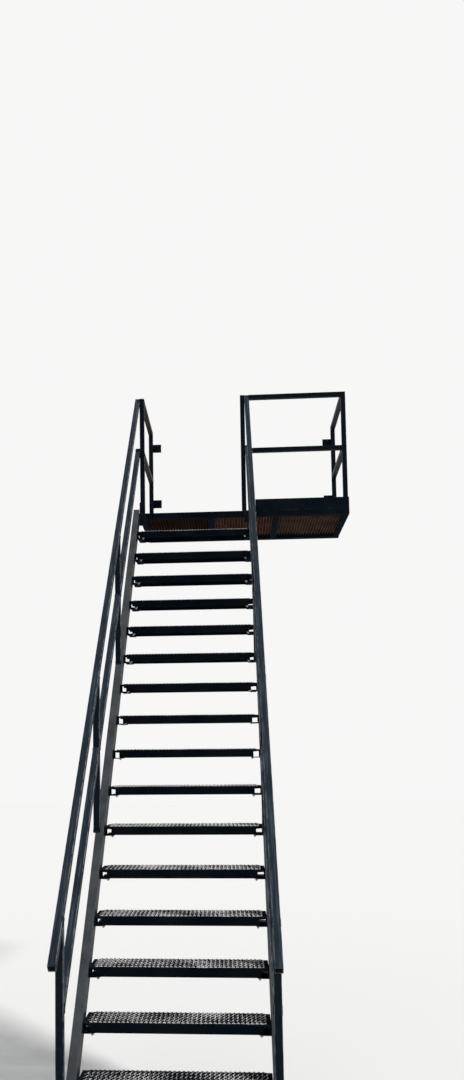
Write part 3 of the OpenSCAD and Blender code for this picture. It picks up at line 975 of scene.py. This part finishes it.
# %% [markdown]
# ## The cross rods of the grating
#
# Seen from below, the deck is close and rusty. The CAD model holds the bearing bars and every
# fourth cross rod. The rods between them are square bars with a twist, as they are when they are
# forged into the bars. A twist modifier does that to a bar with enough cuts along it.

# %% Twisted cross rods
panel_low, panel_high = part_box("deck_grating_left")
panel_wide, panel_deep = panel_high.x - panel_low.x, panel_high.y - panel_low.y
rod_radius, rod_step, cad_rod, rod_cuts = 0.0042, 0.0255, 0.102, 24
rod = start_bar(4, rod_radius, 1, rotation=(0, math.pi / 2, 0))
rod.name = "rod"
rod.scale = (1, 1, panel_wide - 0.001)
bpy.ops.object.transform_apply(location=True, rotation=True, scale=True)
cut([(k / rod_cuts - 0.5) * panel_wide for k in range(1, rod_cuts)], 0)
bpy.ops.object.mode_set(mode="OBJECT")
twist = rod.modifiers.new("twist", "SIMPLE_DEFORM")
twist.deform_method = "TWIST"
twist.deform_axis = "X"
twist.angle = math.radians(rod_cuts * 40)
apply_all(rod)
print("rod:", len(rod.data.polygons), "faces")

# %% [markdown]
# ## Rods in every panel
#
# The rods are laid out from the middle of a panel, as those in the CAD model are, and a place
# that already has a CAD rod is left out.

# %% Rods in every panel
middle_y = (panel_low.y + panel_high.y) / 2
rods_each_way = int(panel_deep / 2 / rod_step) * 2
for panel in lit_and_shaded_panels:
    low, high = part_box("deck_grating_" + panel)
    rods = []
    for i in range(-rods_each_way, rods_each_way + 1, 2):
        y = middle_y + i * rod_step / 2
        steps_away = (y - middle_y) / cad_rod
        from_cad = abs(steps_away - math.floor(steps_away) - 0.5) * cad_rod
        if from_cad < 0.006 or not low.y + 0.005 < y < high.y - 0.005:
            continue
        rods.append(copy_to(rod, "rod_copy", Matrix.Translation(((low.x + high.x) / 2, y, high.z - 0.0046))))
    finish_piece(join(rods, "cross_rods_" + panel), lit_and_shaded_panels[panel])
bpy.data.objects.remove(rod)
print("rods a panel:", len(rods))

# %% [markdown]
# ## Teeth on the bearing bars
#
# The tops of the bearing bars are cut into small teeth for grip. One tooth is a box with its top
# drawn together, a row of them fits one bar, and each bar of each panel gets the row.

# %% Teeth on the bearing bars
bar_thick, bar_gap, notch_step, notch_half = 0.005, 0.026, 0.0125, 0.0042
notch = start_box("notch", (-bar_thick / 2, -notch_half, -0.0004), (bar_thick / 2, notch_half, 0.0020))
pick(notch, lambda v: v.co.z > 0)
bpy.ops.transform.resize(value=(1, 0.2, 1))
bpy.ops.object.mode_set(mode="OBJECT")
notches = int((panel_deep - 0.010) / notch_step)
array(notch, notches, (0, notch_step, 0))
notch.data.transform(Matrix.Translation((0, -(notches - 1) * notch_step / 2, 0)))
for panel in lit_and_shaded_panels:
    low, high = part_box("deck_grating_" + panel)
    bars = int((high.x - low.x - bar_thick) / bar_gap)
    step = (high.x - low.x - bar_thick) / bars
    combs = []
    for i in range(bars + 1):
        place = Matrix.Translation((low.x + bar_thick / 2 + i * step, middle_y, high.z))
        combs.append(copy_to(notch, "comb", place))
    finish_piece(join(combs, "bar_teeth_" + panel), lit_and_shaded_panels[panel])
bpy.data.objects.remove(notch)
print("bar teeth:", bars + 1, "bars of", notches)

# %% [markdown]
# ## Weld beads
#
# Every joint of the stair is welded. A bead is a row of overlapping puddles, so one short rod is
# cut into rings, every other ring is drawn in a little and its two ends are drawn in more. Copies
# of it are laid along the joints. A curve with a bevel could follow a joint too, but it would
# have no puddles.

# %% One weld bead
bead_long, bead_radius, rings = 0.042, 0.0042, 7
bead = start_bar(6, bead_radius, bead_long, location=(0, 0, 0))
bead.name = "bead"
cut([(ring / rings - 0.5) * bead_long for ring in range(1, rings)], 2)
for ring in range(0, rings + 1):
    level_z = (ring / rings - 0.5) * bead_long
    pick(bead, lambda v: abs(v.co.z - level_z) < same_place)
    width = 0.45 if ring in (0, rings) else (1.0 if ring % 2 else 0.82)
    bpy.ops.transform.resize(value=(width, width, 1))
bpy.ops.object.mode_set(mode="OBJECT")
bpy.ops.object.shade_smooth()
print("bead:", len(bead.data.polygons), "faces")

# %% [markdown]
# ## Laying beads
#
# A joint is a line, or the four sides of a tube's end. The first helper lays as many beads as a
# line needs and stretches them to end together. The second runs round the four sides.

# %% Laying beads
X, Y, Z = Vector((1, 0, 0)), Vector((0, 1, 0)), Vector((0, 0, 1))
beads = []


def lay(start, end):
    """Copies of the bead between two points, as long as the joint."""
    start, end = Vector(start), Vector(end)
    run = end - start
    count = max(1, round(run.length / bead_long))
    turn = run.to_track_quat("Z", "Y").to_matrix().to_4x4()
    for i in range(count):
        middle = start + run * ((i + 0.5) / count)
        to_length = Matrix.Diagonal((1, 1, run.length / count / bead_long, 1))
        beads.append(copy_to(bead, "bead_copy", Matrix.Translation(middle) @ turn @ to_length))


def lay_round(centre, half_u, half_v, u, v):
    """Beads along the four sides of a joint with the given half sizes and directions."""
    corners = [centre + u * a * half_u + v * b * half_v for a, b in ((-1, -1), (1, -1), (1, 1), (-1, 1))]
    for i in range(4):
        lay(corners[i], corners[(i + 1) % 4])


post_low, post_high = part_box("guard_post_stair")
half = (post_high.x - post_low.x) / 2
print("half a tube:", round(half, 4))

# %% [markdown]
# ## Beads of the guards
#
# Each guard post is welded round its foot, and the rails are welded round their ends, where they
# meet a post. The places come from the boxes of the nodes, so none is measured by eye.

# %% Beads of the guards
corners = ("front_left", "front_right", "stair", "rear_left", "rear_right")
guard_posts = ["guard_post_" + corner for corner in corners]
for name in guard_posts:
    low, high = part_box(name)
    lay_round(Vector(((low.x + high.x) / 2, (low.y + high.y) / 2, low.z)), half, half, X, Y)
low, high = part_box("guard_rails_front")
for z in (high.z - half, low.z + half):
    for x in (low.x, high.x):
        lay_round(Vector((x, (low.y + high.y) / 2, z)), half, half, Y, Z)
for name in ("guard_rails_left", "guard_rails_right"):
    low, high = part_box(name)
    for z in (high.z - half, low.z + half):
        lay_round(Vector(((low.x + high.x) / 2, low.y, z)), half, half, X, Z)
mid_rail_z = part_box("guard_rails_left")[0].z + half
for name in guard_posts[3:]:
    low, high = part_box(name)
    lay_round(Vector(((low.x + high.x) / 2, low.y, mid_rail_z)), half, half, X, Z)
print("beads of the guards:", len(beads))

# %% [markdown]
# ## Beads of the landing frame
#
# The side beams and the joists are welded round their ends. A toe plate needs no full seam and
# has a short stitch every 25 cm, and the wall plates have a bead down both sides of their post.

# %% Beads of the landing frame
frame_bars = [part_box("deck_beam_left"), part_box("deck_beam_right")] + solids("deck_joists")
for low, high in frame_bars:
    middle = (low + high) / 2
    for y in (low.y, high.y):
        lay_round(Vector((middle.x, y, middle.z)), (high.x - low.x) / 2, (high.z - low.z) / 2, X, Z)
stitch_every, stitch_half = 0.25, 0.02
for name in ("toe_plate_front", "toe_plate_left", "toe_plate_right"):
    low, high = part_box(name)
    along_x = high.x - low.x > high.y - low.y
    run = (high.x - low.x) if along_x else (high.y - low.y)
    stitches = int(run / stitch_every)
    for i in range(stitches):
        at = (i + 0.5) * run / stitches
        if along_x:
            lay((low.x + at - stitch_half, high.y, low.z), (low.x + at + stitch_half, high.y, low.z))
        else:
            x = high.x if low.x < 0 else low.x
            lay((x, low.y + at - stitch_half, low.z), (x, low.y + at + stitch_half, low.z))
for low, high in solids("wall_ties"):
    post_low, post_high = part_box("guard_post_rear_left" if low.x < 0 else "guard_post_rear_right")
    for x in (post_low.x, post_high.x):
        lay((x, low.y, low.z), (x, low.y, high.z))
print("with the landing frame:", len(beads))

# %% [markdown]
# ## Beads of the handrails
#
# The posts of the flight meet the stringers and the top rails on the slope, so the rings of
# beads there are stretched along it. The bottom posts stand level on their foot plates. The top
# rails run through, so of the rails only the segments between the posts have beads at their ends.

# %% Beads of the handrails
along_slope = 1 / up_slope.y
plate_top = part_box("foot_plates")[1].z
slope_up = half * up_slope.z * along_slope
longest_segment = 3
for hand in ("left", "right"):
    for low, high in solids("stair_posts_" + hand):
        middle = (low + high) / 2
        if low.z < plate_top + 0.001:
            lay_round(Vector((middle.x, middle.y, low.z)), half, half, X, Y)
        else:
            lay_round(Vector((middle.x, middle.y, low.z + slope_up)), half, half * along_slope, X, up_slope)
        lay_round(Vector((middle.x, middle.y, high.z - slope_up)), half, half * along_slope, X, up_slope)
    for low, high in solids("stair_rails_" + hand):
        if high.y - low.y > longest_segment:
            continue
        tall = half * 2 * along_slope
        outer_x, inner_x = low.x + half, high.x - half
        if hand == "right":
            outer_x, inner_x = inner_x, outer_x
        lay_round(Vector((outer_x, low.y, low.z + tall / 2)), half, tall / 2, X, Z)
        lay_round(Vector((inner_x, high.y, high.z - tall / 2)), half, tall / 2, X, Z)
print("with the handrails:", len(beads))

# %% [markdown]
# ## Beads of the stringers and carriers
#
# A carrier has a bead down its front edge and one under it. The stringers are welded to their
# foot plates at the bottom and to the front beam of the landing at the top.

# %% Beads of the stringers and carriers
wide = 0.05
beam_low, beam_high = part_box("deck_beam_front")
for hand, inward in (("left", 1), ("right", -1)):
    for low, high in carrier_of[hand]:
        face = low.x if inward > 0 else high.x
        near, front = face + inward * 0.005, low.y + 0.001
        lay((near, front, low.z + 0.006), (near, front, high.z))
        lay((face, low.y + 0.02, low.z), (face, low.y + 0.06, low.z))
    low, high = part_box("stringer_" + hand)
    sides = (low.x, low.x + wide) if hand == "left" else (high.x - wide, high.x)
    for x in sides:
        lay((x, low.y, plate_top), (x, low.y + 0.10, plate_top))
    far = high.x if hand == "left" else low.x
    lay((far, beam_low.y, beam_low.z), (far, beam_low.y, beam_high.z))
    lay((far - inward * wide, beam_low.y, beam_high.z), (far, beam_low.y, beam_high.z))
print("all beads:", len(beads))

# %% [markdown]
# ## One piece of all the beads
#
# The beads are painted over with the frame, so they are joined and share its finish.

# %% Finish the beads
welds = join(beads, "weld_beads")
bpy.data.objects.remove(bead)
finish_piece(welds, finishes["frame_paint"])
print("weld beads:", len(welds.data.polygons), "faces")
